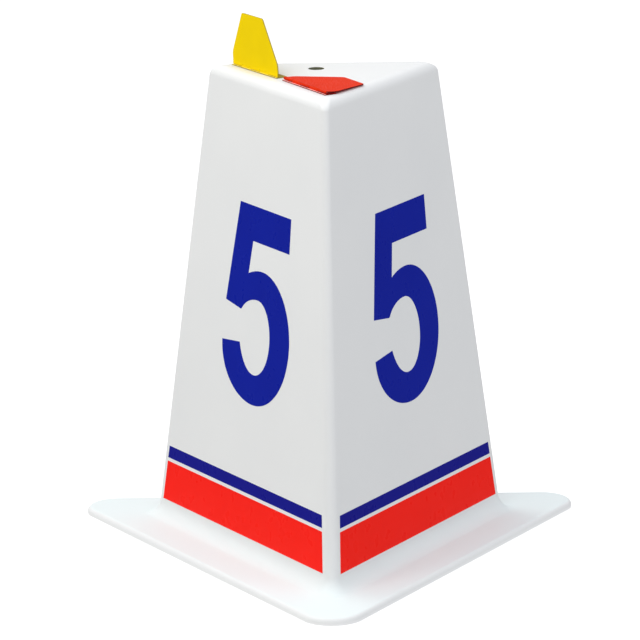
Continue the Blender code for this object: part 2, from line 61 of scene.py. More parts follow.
# Moulded shell. A side is measured between sharp corners, before rounding.
TOP_SIDE = 0.290
WALL_SIDE = 0.453              # at the ground, where the walls' planes meet it
FLANGE_CORNER_RADIUS = 0.039
FLANGE_HEIGHT = 0.009
LAMINATE = 0.004
RIM_RADIUS = 0.006
RIM_TONE_STEP = 0.0012         # height over which the painted cool tint and the painted light on the rim fade
FOOT_RADIUS = 0.020
TOP_EDGE_RADIUS = 0.014
UPRIGHT_RADIUS_TOP = 0.0065
UPRIGHT_RADIUS_FOOT = 0.011
TOP_CORNER_RADIUS = 0.008
HOLE_RADIUS = 0.010
HOLE_EDGE_RADIUS = 0.0005
HOLE_BACK_INSET = 0.046
HOLE_SIDE_SHIFT = 0.0095
HOLE_START = math.radians(-150)    # where a section's first point faces
LEAST_RADIUS_SHARE = 0.25      # what the inside keeps of an outside radius

# Films, measured up the slope of a wall
FILM_THICKNESS = 0.00012
FILM_LIFT = 0.00003
RED_BAND_FOOT = 0.031
RED_BAND_WIDTH = 0.0505
BAND_GAP = 0.0045
BLUE_BAND_WIDTH = 0.0155
BAND_END_INSET = 0.0217
DIGIT_LIFT = 0.0963
DIGIT_HEIGHT = 0.2475
DIGIT_SHIFT = 0.0052
FILM_RISES = {"left": 0.0006, "right": -0.0005, "back": 0.0}
DIGIT_DRIFTS = {"left": 0.0020, "right": -0.0019, "back": 0.0}

# Outline of the 5, in shares of its height, from the middle of its bowl's foot
BAR_LEFT_SHARE = -0.2045
BAR_RIGHT_SHARE = 0.2975
BAR_FOOT_SHARE = 0.8235
STEM_INNER_SHARE = -0.061
STEM_FOOT_SHARES = (-0.301, 0.482)
NOTCH_SHARES = (-0.149, 0.462)
# Each oval of its bowl, by the places of its right, top, left and bottom
BOWL_OUTER_SHARES = ((0.3425, 0.3545), (0.0490, 0.6855), (-0.3180, 0.2755), (0.0075, 0.0025))
BOWL_INNER_SHARES = ((0.1485, 0.3465), (0.0160, 0.5355), (-0.1605, 0.4070), (0.0050, 0.1545))
OUTER_BOWL_TURN = (math.radians(112.4), math.radians(-180.0))
INNER_BOWL_TURN = (math.radians(-153.6), math.radians(152.7))

# Flags and hinges
FLAG_FAR_MARGIN = 0.0158
FLAG_NEAR_MARGIN = 0.0187
FLAG_PAIR_GAP = 0.0145
FLAG_LENGTH = 0.0673
FLAG_SHORT_SIDE = 0.0136
FLAG_TIP_WIDTH = 0.049
FLAG_THICKNESS = 0.0015
FLAG_TIP_RADIUS = 0.004
FLAG_SIDE_RADIUS = 0.018
FLAG_EDGE_RADIUS = 0.0003
KNUCKLE_RADIUS = 0.0016
CROWN_RISE = 0.0004
ROOT_TAPER = 0.0045
HEEL_RADIUS = 0.0006
HINGE_INSET = 0.0233
LEAF_DEPTH = 0.012
LEAF_TOE = 0.0036
LEAF_THICKNESS = 0.0009
LEAF_EDGE_RADIUS = 0.0002
PIN_RADIUS = 0.0007
PIN_END_RECESS = 0.0012
PIN_END_RADIUS = 0.0003
KNUCKLE_COUNT = 5
RAISED_LEAN = math.radians(3.5)
RIVET_PLACE_SHARES = (-0.34, 0.0, 0.34)
RIVET_SHANK_RADIUS = 0.0016
RIVET_HEAD_RADIUS = 0.0027
RIVET_TAIL_RADIUS = 0.0028
RIVET_TAIL_HEIGHT = 0.0015
RIVET_HEAD_SOFTENING = 0.00008
RIVET_DISH_RADIUS = 0.00115
RIVET_DISH_DEPTH = 0.00032
WASHER_RADIUS = 0.0045
WASHER_THICKNESS = 0.001
WASHER_EDGE_RADIUS = 0.0002
TOUCH_GAP = 0.0003
RUNNING_GAP = 0.00025
OVERRUN = 0.004

# Floor. Each layer has its tone, its glow and its depth below the ground.
FLOOR_REACH = 40.0
FLOOR_LAYERS = {
    "floor": (0.45, 0.68, 0.0),
    "floor_bounce": (0.0, 0.72, 0.0005),
}

# The studio's walls and ceiling: sine of the elevation, and the colour there
STUDIO_TONES = (
    (0.34, (0.375, 0.382, 0.395)),
    (0.85, (1.005, 1.02, 1.07)),
)

# Lights: azimuth and elevation in degrees, seen from the marker with the camera
# at azimuth 0, then distance and width in metres, power in watts and colour
WARM_WHITE = (1.0, 0.99, 0.96)
COOL_WHITE = (0.95, 0.985, 1.08)
LIGHTS = {
    "upper_light": (-35, 55, 3.3, 1.8, 34.0, WARM_WHITE),
    "key_light": (-62, 30, 3.4, 1.6, 14.3, WARM_WHITE),
    "back_light": (-125, 50, 3.3, 2.0, 29.0, WARM_WHITE),
    "fill_light": (55, 25, 3.6, 1.8, 22.5, COOL_WHITE),
}

# Camera. Its reach and rise are in heights of the body, its angles in radians,
# and its lens and sensor in millimetres.
CAMERA_REACH = 11.0
CAMERA_RISE = 3.2178
CAMERA_AZIMUTH = -0.0039
CAMERA_PAN = 0.0014
CAMERA_TILT = 0.2438
CAMERA_ROLL = -0.0138
CAMERA_LENS = 307.9
SENSOR_WIDTH = 36.0

# How finely the rounds are divided
CORNER_STEPS = 24
RIM_STEPS = 10
FOOT_STEPS = 18
TOP_STEPS = 18
HOLE_EDGE_STEPS = 4
OUTER_BOWL_STEPS = 110
INNER_BOWL_STEPS = 80
PIN_STEPS = 32
PIN_END_STEPS = 4
RIVET_STEPS = 40
RIVET_TAIL_STEPS = 10
KNUCKLE_STEPS = 24
NOTCH_STEPS = 24
HEEL_STEPS = 6
FLAG_CORNER_STEPS = 8
SOFT_EDGE_SEGMENTS = 3
SHARP_ANGLE = math.radians(35)
CUT_FACE_SLOPE = 0.3           # most that a cut face may lean

shell_low, shell_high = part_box("body_shell")
HEIGHT = shell_high.z
TOP_APOTHEM = TOP_SIDE / (2 * ROOT_3)
WALL_APOTHEM = WALL_SIDE / (2 * ROOT_3)
FLANGE_APOTHEM = (shell_high.y - shell_low.y + FLANGE_CORNER_RADIUS) / 3
MIDDLE = Vector((0.0, shell_high.y - FLANGE_APOTHEM, 0.0))
WALL_SLOPE = math.atan2(WALL_APOTHEM - TOP_APOTHEM, HEIGHT)

HINGE_LINE = TOP_SIDE - 2 * HINGE_INSET / ROOT_3
FLAG_WIDTH = (HINGE_LINE - FLAG_FAR_MARGIN - FLAG_NEAR_MARGIN - FLAG_PAIR_GAP) / 2
BORE_RADIUS = PIN_RADIUS + RUNNING_GAP
NOTCH_DEPTH = KNUCKLE_RADIUS + TOUCH_GAP
FLAG_FACE = KNUCKLE_RADIUS - CROWN_RISE
FLAG_UNDERSIDE = FLAG_FACE - FLAG_THICKNESS
HEEL_PLACE = KNUCKLE_RADIUS - HEEL_RADIUS
HEEL_DROP = HEEL_PLACE * (math.cos(RAISED_LEAN) + math.sin(RAISED_LEAN)) + HEEL_RADIUS
LEAF_TOP = -HEEL_DROP - TOUCH_GAP
LEAF_FOOT = LEAF_TOP - LEAF_THICKNESS
RAISED_ANGLE = QUARTER_TURN + RAISED_LEAN
FOLDED_ANGLE = -math.asin((FLAG_UNDERSIDE - LEAF_FOOT) / FLAG_LENGTH)

WALL_AZIMUTHS = {
    "left": math.radians(210),
    "right": math.radians(330),
    "back": math.radians(90),
}


# Materials. Colours are linear, scales are in features per metre and depths in
# metres. Most materials drift between two colours that lie close together.

NOISE_SPREAD = (0.3, 0.7)      # noise seldom leaves this range

# Sockets of a Mix node by number, because its colour sockets share their names
MIX_AMOUNT = 0
MIX_FIRST = 6
MIX_SECOND = 7
MIX_RESULT = 2


class Surface:
    """A material's node tree, with short calls to add to it."""

    def __init__(self, name, colour, roughness, metallic=0.0, specular=0.5):
        self.material = bpy.data.materials.new(name)
        self.material.use_nodes = True
        self.material.diffuse_color = (*colour, 1.0)
        self.tree = self.material.node_tree
        self.shader = self.tree.nodes["Principled BSDF"]
        self.shader.inputs["Base Color"].default_value = (*colour, 1.0)
        self.shader.inputs["Roughness"].default_value = roughness
        self.shader.inputs["Metallic"].default_value = metallic
        self.shader.inputs["Specular IOR Level"].default_value = specular
        self.place = self.node("ShaderNodeTexCoord").outputs["Object"]
        self.normal = None

    def node(self, kind, **settings):
        """A new node, with some of its properties set."""
        made = self.tree.nodes.new(kind)
        for key, value in settings.items():
            setattr(made, key, value)
        return made

    def link(self, source, target):
        """Join an output to an input."""
        self.tree.links.new(source, target)

    def noise(self, scale, detail, vector=None):
        """Noise from 0 to 1 over object coordinates, or over another vector."""
        texture = self.node("ShaderNodeTexNoise")
        texture.inputs["Scale"].default_value = scale
        texture.inputs["Detail"].default_value = detail
        self.link(vector or self.place, texture.inputs["Vector"])
        return texture.outputs["Fac"]

    def streaks(self, scales, detail, turn=(0.0, 0.0, 0.0)):
        """Noise with a scale for each axis, where each turn gives another pattern."""
        mapping = self.node("ShaderNodeMapping")
        mapping.inputs["Rotation"].default_value = turn
        mapping.inputs["Scale"].default_value = scales
        self.link(self.place, mapping.inputs["Vector"])
        return self.noise(1.0, detail, mapping.outputs["Vector"])

    def ranged(self, source, start, end, low=0.0, high=1.0):
        """Map a stretch of a value onto another, clamped at both ends."""
        ranger = self.node("ShaderNodeMapRange")
        ranger.inputs["From Min"].default_value = start
        ranger.inputs["From Max"].default_value = end
        ranger.inputs["To Min"].default_value = low
        ranger.inputs["To Max"].default_value = high
        self.link(source, ranger.inputs["Value"])
        return ranger.outputs["Result"]

    def drift(self, scale, detail, low=0.0, high=1.0):
        """Noise that wanders all the way between low and high."""
        return self.ranged(self.noise(scale, detail), *NOISE_SPREAD, low, high)

    def maths(self, operation, first, second):
        """Combine two values, either of which may be a plain number."""
        maths = self.node("ShaderNodeMath", operation=operation)
        for socket, value in zip(maths.inputs, (first, second)):
            if isinstance(value, float):
                socket.default_value = value
            else:
                self.link(value, socket)
        return maths.outputs["Value"]

    def tint(self, base, other, amount):
        """Colour that goes from base to other as amount goes from 0 to 1."""
        mix = self.node("ShaderNodeMix", data_type="RGBA")
        for socket, value in ((mix.inputs[MIX_FIRST], base), (mix.inputs[MIX_SECOND], other)):
            if isinstance(value, tuple):
                socket.default_value = (*value, 1.0)
            else:
                self.link(value, socket)
        self.link(amount, mix.inputs[MIX_AMOUNT])
        return mix.outputs[MIX_RESULT]

    def bump(self, height, depth):
        """Add relief of that depth to what is there."""
        bump = self.node("ShaderNodeBump")
        bump.inputs["Distance"].default_value = depth
        self.link(height, bump.inputs["Height"])
        if self.normal:
            self.link(self.normal, bump.inputs["Normal"])
        self.normal = bump.outputs["Normal"]

    def mould_waves(self):
        """Add the mould's slow waviness, which the films on it follow."""
        self.bump(self.noise(scale=9.0, detail=1.0), depth=0.0009)

    def done(self, colour, roughness=None):
        """Wire the finished colour, roughness and relief to the shader."""
        self.link(colour, self.shader.inputs["Base Color"])
        if roughness:
            self.link(roughness, self.shader.inputs["Roughness"])
        self.link(self.normal, self.shader.inputs["Normal"])
        return self.material


def gelcoat():
    """White moulded face with faint waviness and orange peel.

    Low down it is duller, and a painted cool tint there offsets the red light
    that the bands throw on it; the foot of the rim has a paler painted light.
    """
    white = (0.775, 0.78, 0.77)
    shade = (0.755, 0.762, 0.755)
    painted_cool_tint = (0.73, 0.792, 0.787)
    painted_rim_light = (0.93, 0.935, 0.925)
    speck = (0.62, 0.61, 0.58)
    painted_cool_share = 0.9
    speck_share = 0.35
    low_haze = 0.30
    surface = Surface("gelcoat_white", white, roughness=0.36, specular=0.13)
    split = surface.node("ShaderNodeSeparateXYZ")
    surface.link(surface.place, split.inputs["Vector"])
    height = split.outputs["Z"]
    low = surface.ranged(height, FLANGE_HEIGHT + FOOT_RADIUS, FLANGE_HEIGHT)
    above_rim = surface.ranged(height, FLANGE_HEIGHT - RIM_TONE_STEP, FLANGE_HEIGHT)
    painted_rim_light_mask = surface.ranged(height, RIM_RADIUS, RIM_TONE_STEP)
    # The cool tint low down is painted light, against the red light that the bands throw on the
    # gelcoat.
    painted_cool_mask = surface.maths("MULTIPLY", surface.maths("MULTIPLY", low, above_rim), painted_cool_share)
    specks = surface.ranged(surface.noise(scale=900.0, detail=1.0), start=0.74, end=0.80)
    colour = surface.tint(white, shade, surface.drift(scale=7.0, detail=3.0))
    colour = surface.tint(colour, painted_cool_tint, painted_cool_mask)
    # The paler foot of the rim is painted light.
    colour = surface.tint(colour, painted_rim_light, painted_rim_light_mask)
    colour = surface.tint(colour, speck, surface.maths("MULTIPLY", specks, speck_share))
    haze = surface.drift(scale=22.0, detail=2.0, low=0.33, high=0.36)
    haze = surface.maths("ADD", haze, surface.maths("MULTIPLY", low, low_haze))
    surface.mould_waves()
    surface.bump(surface.noise(scale=240.0, detail=2.0), depth=0.000022)
    return surface.done(colour, haze)


def laminate_inside():
    """Rough resin face with layers of glass strands, which all run one way."""
    resin = (0.56, 0.57, 0.50)
    dark_resin = (0.47, 0.47, 0.39)
    glass = (0.74, 0.75, 0.70)
    glass_share = 0.65
    strand_scales = (420.0, 36.0, 36.0)
    surface = Surface("laminate_inside", resin, roughness=0.42)
    strands = None
    for degrees in (0, 35, 72, 108, 145):
        turn = math.radians(degrees)
        turns = (turn * 0.6, turn, turn * 1.7)
        layer = surface.streaks(strand_scales, detail=1.0, turn=turns)
        layer = surface.ranged(layer, start=0.56, end=0.66)
        strands = surface.maths("MAXIMUM", strands, layer) if strands else layer
    blotch = surface.drift(scale=28.0, detail=4.0)
    colour = surface.tint(resin, dark_resin, blotch)
    colour = surface.tint(colour, glass, surface.maths("MULTIPLY", strands, glass_share))
    surface.bump(surface.noise(scale=60.0, detail=4.0), depth=0.0012)
    surface.bump(strands, depth=0.00025)
    return surface.done(colour, surface.ranged(blotch, 0.0, 1.0, low=0.34, high=0.52))


def shaded_laminate_edge():
    """Trimmed edge, where the resin and the glass layers show, in its own olive colour darkened
    by painted shade for the shaded wall of the hole.
    """
    resin = (0.12, 0.125, 0.075)
    glass = (0.22, 0.225, 0.145)
    surface = Surface("shaded_laminate_edge", resin, roughness=0.55, specular=0.2)
    layers = surface.streaks(scales=(160.0, 160.0, 2600.0), detail=3.0)
    surface.bump(layers, depth=0.0002)
    return surface.done(surface.tint(resin, glass, surface.ranged(layers, start=0.35, end=0.65)))


def film(name, base, shade):
    """Smooth plotter-cut film with a slight pull of the gelcoat under it."""
    surface = Surface(name, base, roughness=0.28, specular=0.035)
    surface.mould_waves()
    surface.bump(surface.noise(scale=420.0, detail=2.0), depth=0.000004)
    colour = surface.tint(base, shade, surface.drift(scale=14.0, detail=3.0))
    return surface.done(colour, surface.drift(scale=60.0, detail=2.0, low=0.27, high=0.29))


def plastic(name, base, shade, specular):
    """Satin coloured sheet with a fine pebble and light rubbing."""
    surface = Surface(name, base, roughness=0.40, specular=specular)
    rubbed = surface.streaks(scales=(900.0, 60.0, 60.0), detail=3.0, turn=(0.3, 0.5, 0.9))
    surface.bump(surface.noise(scale=1600.0, detail=2.0), depth=0.00002)
    surface.bump(surface.noise(scale=45.0, detail=1.0), depth=0.0002)
    colour = surface.tint(base, shade, surface.drift(scale=30.0, detail=4.0))
    return surface.done(colour, surface.ranged(rubbed, start=0.35, end=0.7, low=0.46, high=0.33))


def shaded_cut_edge(name, base, shade):
    """Sawn edge of a sheet with marks along the cut, darker than its faces as painted shade for
    the shaded edges and the gap under a flag.
    """
    surface = Surface(name, base, roughness=0.6, specular=0.1)
    marks = surface.streaks(scales=(180.0, 180.0, 2400.0), detail=3.0, turn=(0.2, 0.1, 0.0))
    surface.bump(marks, depth=0.00003)
    return surface.done(surface.tint(base, shade, surface.ranged(marks, *NOISE_SPREAD)))


def steel():
    """Plain stainless steel with fine drawn lines."""
    base = (0.56, 0.56, 0.57)
    shade = (0.48, 0.48, 0.49)
    surface = Surface("stainless_plain", base, roughness=0.30, metallic=1.0)
    lines = surface.streaks(scales=(300.0, 300.0, 5200.0), detail=3.0)
    surface.bump(lines, depth=0.00001)
    colour = surface.tint(base, shade, surface.ranged(lines, start=0.35, end=0.7))
    return surface.done(colour, surface.ranged(lines, *NOISE_SPREAD, low=0.24, high=0.38))


RED_FILM = film("film_red", (0.96, 0.014, 0.007), (0.94, 0.013, 0.006))
DIGIT_FILM = film("film_digit_blue", (0.002, 0.011, 0.30), (0.002, 0.010, 0.285))
BLUE_FILM = film("film_band_blue", (0.006, 0.007, 0.235), (0.006, 0.006, 0.225))
STEEL = steel()

# Surfaces of the shell: outside, inside, trimmed edge darkened with painted shade
SHELL_SURFACES = [gelcoat(), laminate_inside(), shaded_laminate_edge()]
INSIDE_SURFACE, SHADED_EDGE_SURFACE = 1, 2

# Surfaces of a hinge's two sheets: face, cut edge dark with painted shade, leaf's plate dark with
# painted shadow, top of its toe pale with a painted highlight
SHEET_SURFACES = {
    "yellow": [
        plastic("plastic_yellow", (0.885, 0.645, 0.0), (0.845, 0.61, 0.0), specular=0.02),
        shaded_cut_edge("cut_yellow_painted_shade", (0.36, 0.28, 0.02), (0.46, 0.36, 0.04)),
        plastic("plastic_yellow_leaf_painted_shadow", (0.30, 0.23, 0.02), (0.27, 0.205, 0.018), specular=0.1),
        plastic("plastic_yellow_toe_painted_highlight", (0.90, 0.74, 0.14), (0.86, 0.70, 0.12), specular=0.1),
    ],
    "red": [
        plastic("plastic_red", (0.68, 0.028, 0.002), (0.65, 0.026, 0.002), specular=0.03),
        shaded_cut_edge("cut_red_painted_shade", (0.15, 0.006, 0.005), (0.20, 0.008, 0.006)),
        plastic("plastic_red_leaf_painted_shadow", (0.40, 0.018, 0.008), (0.37, 0.016, 0.007), specular=0.1),
        plastic("plastic_red_toe_painted_highlight", (0.95, 0.46, 0.43), (0.90, 0.41, 0.38), specular=0.1),
    ],
}
SHADED_CUT_SURFACE, SHADOWED_PLATE_SURFACE, HIGHLIGHT_TOE_SURFACE = 1, 2, 3


# Mesh helpers

def add_object(name, builder, surfaces):
    """Turn a bmesh into a named object with outward faces and the given surfaces."""
    bmesh.ops.recalc_face_normals(builder, faces=builder.faces)
    mesh = bpy.data.meshes.new(name)
    builder.to_mesh(mesh)
    builder.free()
    made = bpy.data.objects.new(name, mesh)
    bpy.context.scene.collection.objects.link(made)
    for surface in surfaces:
        mesh.materials.append(surface)
    return made


def cut(target, builder, operation="DIFFERENCE"):
    """Cut the target with another solid for good, and remove that solid."""
    cutter = add_object(target.name + "_cutter", builder, [])
    boolean = target.modifiers.new("cut", "BOOLEAN")
    boolean.operation = operation
    boolean.solver = "EXACT"
    boolean.object = cutter
    bpy.context.view_layer.update()
    evaluated = target.evaluated_get(bpy.context.evaluated_depsgraph_get())
    target.data = bpy.data.meshes.new_from_object(evaluated)
    target.modifiers.clear()
    bpy.data.objects.remove(cutter, do_unlink=True)


def finish_piece(piece, body, slot, *nodes, edge=0.0):
    """Set the mesh in place, soften its edges, and tie the piece to the frame."""
    piece.data.transform(piece.matrix_world)
    piece.matrix_world = Matrix.Identity(4)
    piece.data.shade_smooth()
    piece.data.set_sharp_from_angle(angle=SHARP_ANGLE)
    if edge:
        bevel = piece.modifiers.new("soft_edges", "BEVEL")
        bevel.width = edge
        bevel.segments = SOFT_EDGE_SEGMENTS
        bevel.limit_method = "ANGLE"
        bevel.angle_limit = SHARP_ANGLE
        bevel.miter_outer = "MITER_ARC"
    weighted = piece.modifiers.new("even_normals", "WEIGHTED_NORMAL")
    weighted.keep_sharp = not edge
    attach(piece, body)
    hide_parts(*nodes)


def axes_at(origin, x_axis, y_axis, z_axis):
    """The frame with those axes at that point."""
    place = Matrix((x_axis, y_axis, z_axis)).transposed().to_4x4()
    place.translation = origin
    return place


def add_prism(builder, outline, low, high):
    """Extrude a flat outline of (x, y) points from z = low to z = high."""
    foot = [builder.verts.new((x, y, low)) for x, y in outline]
    head = [builder.verts.new((x, y, high)) for x, y in outline]
    builder.faces.new(reversed(foot))
    builder.faces.new(head)
    for index in range(len(outline)):
        after = (index + 1) % len(outline)
        builder.faces.new((foot[index], foot[after], head[after], head[index]))


def add_bar(builder, profile, low, high):
    """Extrude a side profile of (y, z) points from x = low to x = high."""
    start = len(builder.verts)
    add_prism(builder, profile, low, high)
    builder.verts.ensure_lookup_table()
    turn = Matrix(((0, 0, 1), (1, 0, 0), (0, 1, 0)))
    for vertex in builder.verts[start:]:
        vertex.co = turn @ vertex.co


def add_turned(builder, profile, steps, centre=(0.0, 0.0)):
    """Rings of points for a profile of (radius, z) about an upright axis."""
    rings = []
    for radius, z in profile:
        ring = []
        for step in range(steps):
            angle = FULL_TURN * step / steps
            x = centre[0] + radius * math.cos(angle)
            y = centre[1] + radius * math.sin(angle)
            ring.append(builder.verts.new((x, y, z)))
        rings.append(ring)
    return rings


def skin_rings(builder, rings, closed=False):
    """Join neighbouring rings with faces, and cap the ends or close the loop."""
    pairs = list(zip(rings, rings[1:]))
    if closed:
        pairs.append((rings[-1], rings[0]))
    skins = []
    for lower, upper in pairs:
        for index in range(len(lower)):
            after = (index + 1) % len(lower)
            corners = (lower[index], lower[after], upper[after], upper[index])
            skins.append(builder.faces.new(corners))
    if not closed:
        builder.faces.new(reversed(rings[0]))
        builder.faces.new(rings[-1])
    return skins


def arc(centre, radii, start, end, steps):
    """Points (x, y) along an elliptical arc, both ends included."""
    points = []
    for step in range(steps + 1):
        angle = start + (end - start) * step / steps
        x = centre[0] + radii[0] * math.cos(angle)
        y = centre[1] + radii[1] * math.sin(angle)
        points.append((x, y))
    return points


# Moulded shell

def wall_apothem(z):
    """Distance from the middle to the outside of a wall's plane at height z."""
    return WALL_APOTHEM + (TOP_APOTHEM - WALL_APOTHEM) * z / HEIGHT


def upright_radius(z):
    """Rounding of the upright edges at height z."""
    return UPRIGHT_RADIUS_FOOT + (UPRIGHT_RADIUS_TOP - UPRIGHT_RADIUS_FOOT) * z / HEIGHT


def inside_radius(radius, skin):
    """What is left of an outside radius below a skin of that thickness."""
    return max(radius - skin, LEAST_RADIUS_SHARE * radius)


def section(apothem, corner_radius, z):
    """Points round a triangle with rounded corners, one corner towards -Y."""
    points = []
    for corner in range(3):
        azimuth = math.radians(120 * corner - 90)
        reach = 2 * (apothem - corner_radius)
        centre = (reach * math.cos(azimuth), reach * math.sin(azimuth))
        start = azimuth - math.radians(60)
        end = azimuth + math.radians(60)
        radii = (corner_radius, corner_radius)
        points += [(x, y, z) for x, y in arc(centre, radii, start, end, CORNER_STEPS)]
    return points


def rim_sections(skin):
    """The turned-down rim, from the ground up to the flange's face."""
    radius = inside_radius(RIM_RADIUS, skin)
    apothem = FLANGE_APOTHEM - skin
    corner = inside_radius(FLANGE_CORNER_RADIUS, skin)
    middle = FLANGE_HEIGHT - skin - radius
    sections = [section(apothem, corner, 0.0)]
    for turn, rise in arc((0.0, middle), (radius, radius), 0.0, QUARTER_TURN, RIM_STEPS):
        inset = radius - turn
        sections.append(section(apothem - inset, corner - inset, rise))
    return sections


def foot_sections(skin):
    """The hollow fillet that leads from the flange's face into the walls."""
    middle = FLANGE_HEIGHT + FOOT_RADIUS
    reach = wall_apothem(middle) + FOOT_RADIUS / math.cos(WALL_SLOPE)
    radius = FOOT_RADIUS + skin
    start = math.radians(270)
    end = math.radians(180) + WALL_SLOPE
    sections = []
    for apothem, z in arc((reach, middle), (radius, radius), start, end, FOOT_STEPS):
        spread = apothem - wall_apothem(z) + skin / math.cos(WALL_SLOPE)
        corner = inside_radius(upright_radius(z), skin) + spread
        sections.append(section(apothem, corner, z))
    return sections


def top_sections(skin):
    """The rounded edge between the walls and the flat top."""
    radius = inside_radius(TOP_EDGE_RADIUS, skin)
    middle = HEIGHT - skin - radius
    reach = wall_apothem(middle) - (skin + radius) / math.cos(WALL_SLOPE)
    curve = arc((reach, middle), (radius, radius), WALL_SLOPE, QUARTER_TURN, TOP_STEPS)
    last = inside_radius(TOP_CORNER_RADIUS, skin)
    sections = []
    for step, (apothem, z) in enumerate(curve):
        first = inside_radius(upright_radius(z), skin)
        corner = first + (last - first) * step / TOP_STEPS
        sections.append(section(apothem, corner, z))
    return sections


def hole_sections(count):
    """Rings of the round hole, with as many points as the sections have."""
    centre = Vector((-HOLE_SIDE_SHIFT, TOP_APOTHEM - HOLE_BACK_INSET))
    high = HEIGHT - HOLE_EDGE_RADIUS
    radii = (HOLE_EDGE_RADIUS, HOLE_EDGE_RADIUS)
    outline = arc((0.0, high), radii, QUARTER_TURN, math.pi, HOLE_EDGE_STEPS)
    outline = [(HOLE_RADIUS + HOLE_EDGE_RADIUS + x, z) for x, z in outline]
    outline.append((HOLE_RADIUS, HEIGHT - LAMINATE))
    rings = []
    for radius, z in outline:
        ring = []
        for index in range(count):
            angle = HOLE_START + FULL_TURN * index / count
            x = centre.x + radius * math.cos(angle)
            y = centre.y + radius * math.sin(angle)
            ring.append((x, y, z))
        rings.append(ring)
    return rings


def make_shell():
    """The hollow moulding, gelcoat outside and bare laminate inside."""
    builder = bmesh.new()
    outside = rim_sections(0.0) + foot_sections(0.0) + top_sections(0.0)
    inside = rim_sections(LAMINATE) + foot_sections(LAMINATE) + top_sections(LAMINATE)
    hole = hole_sections(len(outside[-1]))
    path = outside + hole + inside[::-1]
    rings = [[builder.verts.new(point) for point in ring] for ring in path]
    skins = skin_rings(builder, rings, closed=True)
    count = len(rings[0])
    edge_from = (len(outside) + len(hole) - 2) * count
    inside_from = (len(outside) + len(hole) - 1) * count
    rim_from = (len(path) - 1) * count
    for index, face in enumerate(skins):
        if index >= rim_from or edge_from <= index < inside_from:
            face.material_index = SHADED_EDGE_SURFACE
        elif index >= inside_from:
            face.material_index = INSIDE_SURFACE
    builder.transform(Matrix.Translation(MIDDLE))
    return add_object("shell_moulding", builder, SHELL_SURFACES)


def drill_shell(shell, hinge):
    """Holes through the shell's top for one leaf's rivets."""
    builder = bmesh.new()
    radius = RIVET_SHANK_RADIUS + TOUCH_GAP
    for place in rivet_places():
        profile = [(radius, -LAMINATE - OVERRUN), (radius, OVERRUN)]
        skin_rings(builder, add_turned(builder, profile, RIVET_STEPS, place))
    lift = Matrix.Translation((0.0, 0.0, HEIGHT - hinge.translation.z))
    builder.transform(hinge @ lift)
    cut(shell, builder)


# Films on the walls

def wall_frame(azimuth):
    """Frame on a wall: x to the right, y up the slope, z out of the wall."""
    out = Vector((math.cos(azimuth), math.sin(azimuth), 0.0))
    rise = UP * math.cos(WALL_SLOPE) - out * math.sin(WALL_SLOPE)
    normal = out * math.cos(WALL_SLOPE) + UP * math.sin(WALL_SLOPE)
    return axes_at(MIDDLE + out * WALL_APOTHEM, UP.cross(out), rise, normal)


def band_outline(foot, width):
    """A strip across the wall whose ends follow the upright edges."""
    outline = []
    for rise, hand in ((foot, -1), (foot, 1), (foot + width, 1), (foot + width, -1)):
        z = rise * math.cos(WALL_SLOPE)
        half = ROOT_3 * wall_apothem(z) - BAND_END_INSET
        outline.append((hand * half, rise))
    return outline


def oval(place, extremes, start, end, steps):
    """Points along an oval whose quarters are ellipses between its extremes."""
    right, top, left, bottom = extremes
    points = []
    for step in range(steps + 1):
        angle = start + (end - start) * step / steps
        side = right if math.cos(angle) > 0.0 else left
        crown = top if math.sin(angle) > 0.0 else bottom
        x_share = crown[0] + (side[0] - crown[0]) * abs(math.cos(angle))
        y_share = side[1] + (crown[1] - side[1]) * abs(math.sin(angle))
        points.append(place(x_share, y_share))
    return points


def digit_outline(middle, foot):
    """The numeral 5: bar, leaning stem and round bowl, clockwise."""

    def place(x_share, y_share):
        return (middle + x_share * DIGIT_HEIGHT, foot + y_share * DIGIT_HEIGHT)

    outline = [
        place(BAR_LEFT_SHARE, 1.0),
        place(BAR_RIGHT_SHARE, 1.0),
        place(BAR_RIGHT_SHARE, BAR_FOOT_SHARE),
        place(STEM_INNER_SHARE, BAR_FOOT_SHARE),
    ]
    outline += oval(place, BOWL_OUTER_SHARES, *OUTER_BOWL_TURN, OUTER_BOWL_STEPS)
    outline += oval(place, BOWL_INNER_SHARES, *INNER_BOWL_TURN, INNER_BOWL_STEPS)
    outline += [place(*NOTCH_SHARES), place(*STEM_FOOT_SHARES)]
    return outline


def make_film(name, outline, surface, place, slot, node):
    """A thin film that lies on the wall."""
    builder = bmesh.new()
    add_prism(builder, outline, FILM_LIFT, FILM_LIFT + FILM_THICKNESS)
    made = add_object(name, builder, [surface])
    made.matrix_world = place
    finish_piece(made, "box", slot, node)


def make_films():
    """The two bands and the numeral on each wall."""
    for wall, azimuth in WALL_AZIMUTHS.items():
        place = wall_frame(azimuth)
        red_foot = RED_BAND_FOOT + FILM_RISES[wall]
        blue_foot = red_foot + RED_BAND_WIDTH + BAND_GAP
        digit_foot = blue_foot + BLUE_BAND_WIDTH + DIGIT_LIFT
        red = band_outline(red_foot, RED_BAND_WIDTH)
        blue = band_outline(blue_foot, BLUE_BAND_WIDTH)
        digit = digit_outline(DIGIT_SHIFT + DIGIT_DRIFTS[wall], digit_foot)
        make_film("red_stripe_" + wall, red, RED_FILM, place, "red_film", "red_band_" + wall)
        make_film("blue_stripe_" + wall, blue, BLUE_FILM, place, "blue_film", "blue_band_" + wall)
        make_film("digit_" + wall, digit, DIGIT_FILM, place, "blue_film", "numeral_" + wall)


# Flags and hinges. In a hinge's frame x runs along the pin towards the near
# corner, y points inwards over the top and z points up, from the pin's middle.

def hinge_frame(name):
    """A hinge's frame, from the joint's own point and axis."""
    joint = next(j for j in frame["joints"] if j["name"] == name)
    along = Vector(joint["axis"]).normalized()
    return axes_at(Vector(joint["pos_m"]), along, UP.cross(along), UP)


def knuckle_span(index):
    """Where one knuckle of the hinge starts and ends along the pin."""
    step = FLAG_WIDTH / KNUCKLE_COUNT
    start = step * index - FLAG_WIDTH / 2
    return start, start + step


